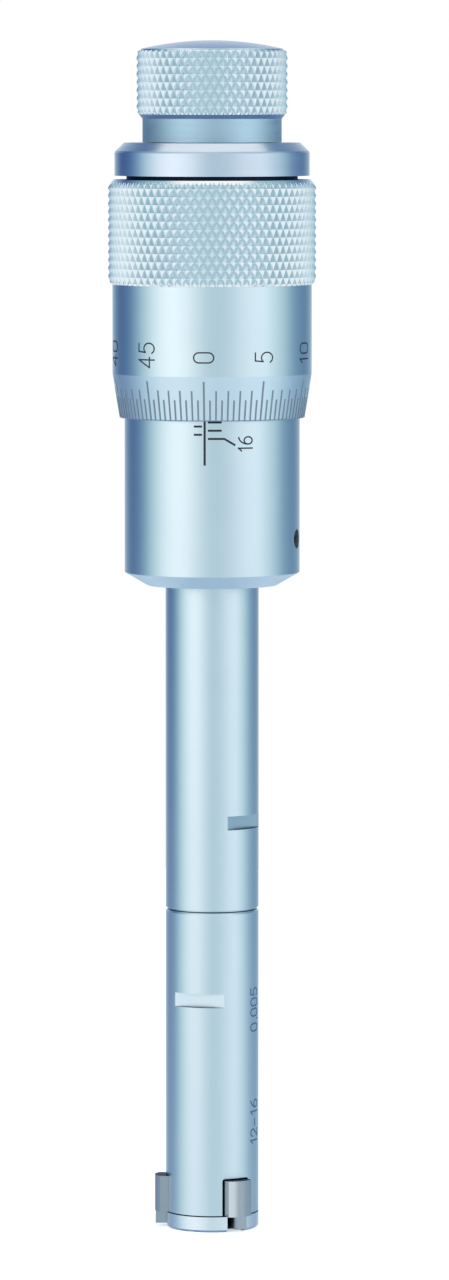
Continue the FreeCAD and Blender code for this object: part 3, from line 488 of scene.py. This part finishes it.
def return_spring(material):
    """The coil round the push rod, which the rod's flange presses shorter in use; here a fixed copy of its mesh."""
    piece = placed("return_spring_coil", frame["nodes"]["return_spring"].data.copy())
    piece.data.materials.clear()
    piece.data.materials.append(material)
    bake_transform(piece)
    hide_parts("return_spring")


def anvil_direction(anvil):
    """The direction in which an anvil slides outwards, as X and Y."""
    joints = frame["record"]["behaviour"]["joints"]
    return next(joint["axis"][:2] for joint in joints if joint["child"] == anvil)


def ring_spring(material):
    """The ring of spring wire under the anvils' noses, in a third for each anvil.

    Each third ends midway to the next anvil. The real ring gives way at its three noses; these thirds are fixed
    and do not move with the anvils.
    """
    low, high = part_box("anvil_ring_spring")
    wire = (high.z - low.z) / 2
    radius, level = high.x - wire, (low.z + high.z) / 2
    rows, sides, half_third = 30, 12, 59.9
    turn = np.linspace(0, 2 * np.pi, sides, endpoint=False)[None, :]
    for anvil in ANVILS:
        x, y = anvil_direction(anvil)
        azimuth = math.atan2(x, -y) + np.radians(np.linspace(-half_third, half_third, rows))[:, None]
        points = round_points(radius + wire * np.cos(turn) + 0 * azimuth, azimuth + 0 * turn,
                              level + wire * np.sin(turn) + 0 * azimuth)
        faces = [tuple(range(sides)), tuple(reversed(range((rows - 1) * sides, rows * sides)))]
        for i in range(rows - 1):
            for j in range(sides):
                k = (j + 1) % sides
                faces.append((i * sides + j, (i + 1) * sides + j, (i + 1) * sides + k, i * sides + k))
        piece = new_piece(f"ring_spring_at_{anvil}", points, faces, material)
        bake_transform(piece)
        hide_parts("anvil_ring_spring")


def anvil_faces(material, shadow):
    """The crowned face of each anvil, lapped round so that it touches a bore in one line.

    Its edges have a painted highlight, stronger on one side than on the other, and its top is painted dark
    as shade.
    """
    # The shoe's half width, the crown's radius and furthest point, and the piece's back inside the shoe
    half, crown, reach, back = 1.66 * MM, 2.6 * MM, 7.095 * MM, 6.1 * MM
    across = crown * np.sin(np.linspace(-1, 1, 25) * math.asin(half / crown))
    outward = reach - crown + np.sqrt(crown ** 2 - across ** 2)
    across = np.concatenate([[-half], across, [half]])
    outward = np.concatenate([[back], outward, [back]])
    # The painted highlight starts at this distance from the middle and is full after this width, and the last is its
    # share on the side where across is positive
    highlight_start, highlight_width, other_side_highlight = 0.5 * MM, 0.6 * MM, 0.4
    painted_highlight = np.clip((np.abs(across) - highlight_start) / highlight_width, 0, 1) * np.where(across < 0, 1, other_side_highlight)
    painted_highlight[:2] = painted_highlight[-2:] = 0
    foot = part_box("end_cap")[1].z + 0.03 * MM
    for anvil in ANVILS:
        x, y = anvil_direction(anvil)
        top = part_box(anvil)[1].z + 0.02 * MM
        plan = [(x * o - y * a, y * o + x * a) for o, a in zip(outward, across)]
        points = np.array([(px, py, level) for level in (foot, top) for px, py in plan])
        count = len(plan)
        faces = [tuple(reversed(range(count))), tuple(range(count, 2 * count))]
        faces += [(i, (i + 1) % count, count + (i + 1) % count, count + i) for i in range(count)]
        piece = new_piece(f"{anvil}_face", points, faces, material, anvil)
        # Painted shade on the piece's top, and the painted highlight along the edges of its crowned face
        paint_faces(piece, shadow, lambda r, z, rise: z > top - 0.1 * MM and rise > 0.9)
        share_second(piece, np.concatenate([painted_highlight, painted_highlight]))


def dress_nodes(finishes):
    """Each carried-over node gets the finish of its slot in the record, or its own variety of it."""
    chosen = {row["node"]: row["material_slot"] for row in frame["record"]["subparts"]}
    # The end cap takes the lighter copy of the plate, which is painted light
    chosen.update(thimble_collar="collar", end_cap="cap")
    for name, node in frame["nodes"].items():
        node.data.materials.clear()
        node.data.materials.append(finishes[chosen[name]])


def dress_joints(finishes):
    """Bevels get their own finishes, and faces in the shadow of grooves, slots and gaps get painted shade."""
    nodes = frame["nodes"]
    painted_shade = finishes["painted_shade"]

    # Painted shade: the collar's waist over the grip ring is painted dark, and its flat top round the knob's neck
    # takes the neck's darker finish
    collar_foot, collar_top = (corner.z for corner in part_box("thimble_collar"))
    paint_faces(nodes["thimble_collar"], painted_shade, lambda r, z, rise: z < collar_foot + 0.72 * MM and r > 9 * MM)
    paint_faces(nodes["thimble_collar"], finishes["neck"],
                lambda r, z, rise: z > collar_top - 0.05 * MM and rise > 0.9)

    # The thimble's bevel, its lip in the bevel finish's painted bluish shade, and the bevel at the sleeve's foot with
    # its painted underside shade
    thimble_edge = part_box("thimble")[0].z
    paint_faces(nodes["thimble"], finishes["blasted"],
                lambda r, z, rise: z < thimble_edge + 5.5 * MM and r > 11.1 * MM and 0.05 < rise < 0.5)
    paint_faces(nodes["thimble"], finishes["bevel"],
                lambda r, z, rise: z < thimble_edge + 0.2 * MM and rise >= 0.5)
    sleeve_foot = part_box("sleeve")[0].z
    paint_faces(nodes["sleeve"], finishes["foot_bevel"],
                lambda r, z, rise: z < sleeve_foot + 1.5 * MM and r > 7.5 * MM)

    # The bevels where head and tube meet, with their painted joint shade, and the ledges of the spanner flats on both,
    # painted dark as shade
    joint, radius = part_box("head_body")[1].z, -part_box("head_body")[0].x
    for name in ("head_body", "upper_tube"):
        paint_faces(nodes[name], finishes["joint"],
                    lambda r, z, rise: abs(z - joint) < 0.27 * MM and r > radius - 0.3 * MM and rise > 0.3)
        paint_faces(nodes[name], painted_shade,
                    lambda r, z, rise: 1 * MM < abs(z - joint) < 15 * MM and r > 4.6 * MM and rise > 0.95)

    # Painted shade on the end cap's foot bevel, on the bevels between cap and head and in the cap's slots
    cap_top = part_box("end_cap")[1].z
    paint_faces(nodes["end_cap"], finishes["bevel"], lambda r, z, rise: z < 0.29 * MM)
    for name in ("end_cap", "head_body"):
        paint_faces(nodes[name], painted_shade, lambda r, z, rise: abs(z - cap_top) < 0.081 * MM and 0.2 < rise < 0.95)
    paint_faces(nodes["end_cap"], painted_shade, lambda r, z, rise: r < radius - 0.35 * MM)

    # Painted shade in the head's anvil windows and on the anvils' tops
    shoe_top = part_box("anvil_1")[1].z
    paint_faces(nodes["head_body"], painted_shade,
                lambda r, z, rise: r < radius - 0.1 * MM and z < shoe_top + 0.5 * MM and rise < 0.9)
    for name in ANVILS:
        paint_faces(nodes[name], painted_shade, lambda r, z, rise: z > shoe_top - 0.2 * MM and rise > 0.9)


# Sides of the tent and of the floor's disc
STAGE_SIDES = 96
# The tent's round wall: radius, foot and top in metres
TENT = (0.6, -1.3, 1.0)
# Its brightness and tint by angle from the camera's side, left and then right: a pale front, a bright soft panel on
# each side, a dusky blue gap behind each panel and a pale back
TENT_LEFT = [
    (0, "#c0d4de"), (28, "#eef3f6"), (50, "#fbfbfe"), (68, "#edf4f6"), (86, "#b5d3dd"), (98, "#789ebb"),
    (112, "#486c9d"), (135, "#425f8f"), (152, "#8ca5c0"), (168, "#d8e3eb"), (180, "#e1e9ef"),
]
TENT_RIGHT = [
    (28, "#d4e1e8"), (50, "#d8dee6"), (68, "#c3d2da"), (86, "#a5c1ca"), (98, "#88acbe"), (112, "#6a8eaf"),
    (135, "#5b7ca0"), (152, "#90a9be"), (168, "#d8e3eb"),
]


# What tints the tent further, in this order: a colour, and bands (axis, level where it starts, level where it is
# full, its most), which are multiplied where there are two
TENT_TINTS = [
    # Light that a pale floor throws up, then white for the faces that look steeply down, and duller far below
    ("#cfe0f0", [("Z", 0.08, -0.22, 0.65)]),
    ("#fcfdfe", [("Z", -0.2, -0.34, 1.0)]),
    ("#a9bfd2", [("Z", -0.6, -0.95, 1.0)]),
    # A dull ceiling over the front, for the sides of bevels that look up
    ("#8fb2c2", [("Z", 0.3, 0.55, 0.85), ("Y", 0.42, 0.12, 1.0)]),
    # A dark drape high up at the back, which shows in flat tops and the dome
    ("#7f97c5", [("Y", 0.55, 0.59, 1.0), ("Z", 0.26, 0.48, 1.0)]),
]


def light_tent():
    """A round screen about the object that lights it and shows in its metal, but not to the camera."""
    material = bpy.data.materials.new("tent_cloth")
    tree = empty_tree(material)
    place = add(tree, "ShaderNodeTexCoord").outputs["Object"]
    parts = add(tree, "ShaderNodeSeparateXYZ", {"Vector": place})
    backwards = add(tree, "ShaderNodeMath", {0: parts.outputs["Y"], 1: -1.0}, operation="MULTIPLY").outputs["Value"]
    angle = add(tree, "ShaderNodeMath", {0: parts.outputs["X"], 1: backwards}, operation="ARCTAN2").outputs["Value"]
    share = add(tree, "ShaderNodeMapRange", {"Value": angle, "From Min": -math.pi, "From Max": math.pi})
    ramp = add(tree, "ShaderNodeValToRGB", {"Fac": share.outputs["Result"]})
    stops = [((180 - a) / 360, c) for a, c in TENT_LEFT] + [((180 + a) / 360, c) for a, c in TENT_RIGHT]
    stops.append((1.0, TENT_LEFT[-1][1]))
    stops.sort()
    while len(ramp.color_ramp.elements) < len(stops):
        ramp.color_ramp.elements.new(0.5)
    for element, (position, colour) in zip(ramp.color_ramp.elements, stops):
        element.position = position
        element.color = srgb(colour)
    cloth = ramp.outputs["Color"]
    for colour, bands in TENT_TINTS:
        share = 1.0
        for axis, start, full, most in bands:
            band = add(tree, "ShaderNodeMapRange", {
                "Value": parts.outputs[axis], "From Min": start, "From Max": full, "To Max": most})
            share = add(tree, "ShaderNodeMath", {0: share, 1: band.outputs["Result"]}, operation="MULTIPLY")
            share = share.outputs["Value"]
        cloth = add(tree, "ShaderNodeMix", {"Factor": share, 6: cloth, 7: srgb(colour)}, data_type="RGBA").outputs[2]
    glow = add(tree, "ShaderNodeEmission", {"Color": cloth, "Strength": 1.0})
    add(tree, "ShaderNodeOutputMaterial", {"Surface": glow.outputs["Emission"]})
    radius, foot, top = TENT
    azimuth = np.linspace(0, 2 * np.pi, STAGE_SIDES, endpoint=False)
    points = np.concatenate([round_points(radius + 0 * azimuth, azimuth, level + 0 * azimuth) for level in (foot, top)])
    faces = [(i, (i + 1) % STAGE_SIDES, STAGE_SIDES + (i + 1) % STAGE_SIDES, STAGE_SIDES + i)
             for i in range(STAGE_SIDES)]
    tent = new_piece("light_tent", points, faces, material)
    tent.rotation_euler.z = math.radians(CAMERA_AZIMUTH)
    tent.visible_camera = False
    tent.visible_shadow = False


def white_floor():
    """A pale floor that keeps the object's soft shadow and runs out to white."""
    radius, camera_glow = 0.4, 0.5
    material = bpy.data.materials.new("pale_floor")
    tree = empty_tree(material)
    matt = add(tree, "ShaderNodeBsdfDiffuse", {"Color": srgb("#f4f6f8")})
    glow = add(tree, "ShaderNodeEmission", {"Color": (1, 1, 1, 1), "Strength": camera_glow})
    both = add(tree, "ShaderNodeAddShader")
    tree.links.new(matt.outputs["BSDF"], both.inputs[0])
    tree.links.new(glow.outputs["Emission"], both.inputs[1])
    seen = add(tree, "ShaderNodeLightPath").outputs["Is Camera Ray"]
    choice = add(tree, "ShaderNodeMixShader")
    tree.links.new(seen, choice.inputs[0])
    tree.links.new(matt.outputs["BSDF"], choice.inputs[1])
    tree.links.new(both.outputs["Shader"], choice.inputs[2])
    add(tree, "ShaderNodeOutputMaterial", {"Surface": choice.outputs["Shader"]})
    azimuth = np.linspace(0, 2 * np.pi, STAGE_SIDES, endpoint=False)
    points = round_points(radius + 0 * azimuth, azimuth, 0 * azimuth)
    floor = new_piece("floor", points, [tuple(range(STAGE_SIDES))], material)
    floor.visible_glossy = False


def world_light():
    """White to the camera and in reflections, and a plain level for soft light."""
    soft_level = 0.7
    world = bpy.data.worlds.new("studio")
    bpy.context.scene.world = world
    tree = empty_tree(world)
    path = add(tree, "ShaderNodeLightPath").outputs
    seen = add(tree, "ShaderNodeMath", {0: path["Is Camera Ray"], 1: path["Is Glossy Ray"]}, operation="MAXIMUM")
    seen = add(tree, "ShaderNodeMath", {0: seen.outputs["Value"], 1: path["Is Transmission Ray"]}, operation="MAXIMUM")
    strength = add(tree, "ShaderNodeMapRange", {"Value": seen.outputs["Value"], "To Min": soft_level, "To Max": 1.0})
    sky = add(tree, "ShaderNodeBackground", {"Color": (1, 1, 1, 1), "Strength": strength.outputs["Result"]})
    add(tree, "ShaderNodeOutputWorld", {"Surface": sky.outputs["Background"]})


def lamp(name, azimuth, distance, level, size, power):
    """A square soft lamp that looks at the middle of the object."""
    light = bpy.data.lights.new(name, "AREA")
    light.size = size
    light.energy = power
    holder = placed(name, light)
    turn = math.radians(azimuth)
    holder.location = (distance * math.sin(turn), -distance * math.cos(turn), level)
    aimed(holder, (0, 0, 90 * MM))


def camera():
    """The photograph's camera."""
    data = bpy.data.cameras.new("camera")
    data.lens = LENS
    data.sensor_width = 36.0
    holder = placed("camera", data)
    turn = math.radians(CAMERA_AZIMUTH)
    holder.location = (CAMERA_DISTANCE * math.sin(turn), -CAMERA_DISTANCE * math.cos(turn), CAMERA_LEVEL)
    aimed(holder, (AIM_RIGHT * math.cos(turn), AIM_RIGHT * math.sin(turn), AIM_LEVEL))
    bpy.context.scene.camera = holder


finishes = all_finishes()
dress_nodes(finishes)
dress_joints(finishes)
sleeve_marks(finishes["black_ink"])
head_marks(finishes["head_ink"])
thimble_marks(finishes["grey_ink"], finishes["black_ink"])
grip_ring(finishes["knurled_chrome"])
knob(finishes["knurled_chrome"], finishes["neck"], finishes["bevel"])
return_spring(finishes["spring_steel"])
ring_spring(finishes["spring_steel"])
anvil_faces(finishes["anvil_steel"], finishes["painted_shade"])
light_tent()
white_floor()
world_light()
lamp("key_lamp", azimuth=-40, distance=1.1, level=0.6, size=0.8, power=6.5)
lamp("fill_lamp", azimuth=68, distance=1.2, level=0.5, size=1.0, power=9)
camera()
bpy.context.scene.view_settings.view_transform = "Standard"
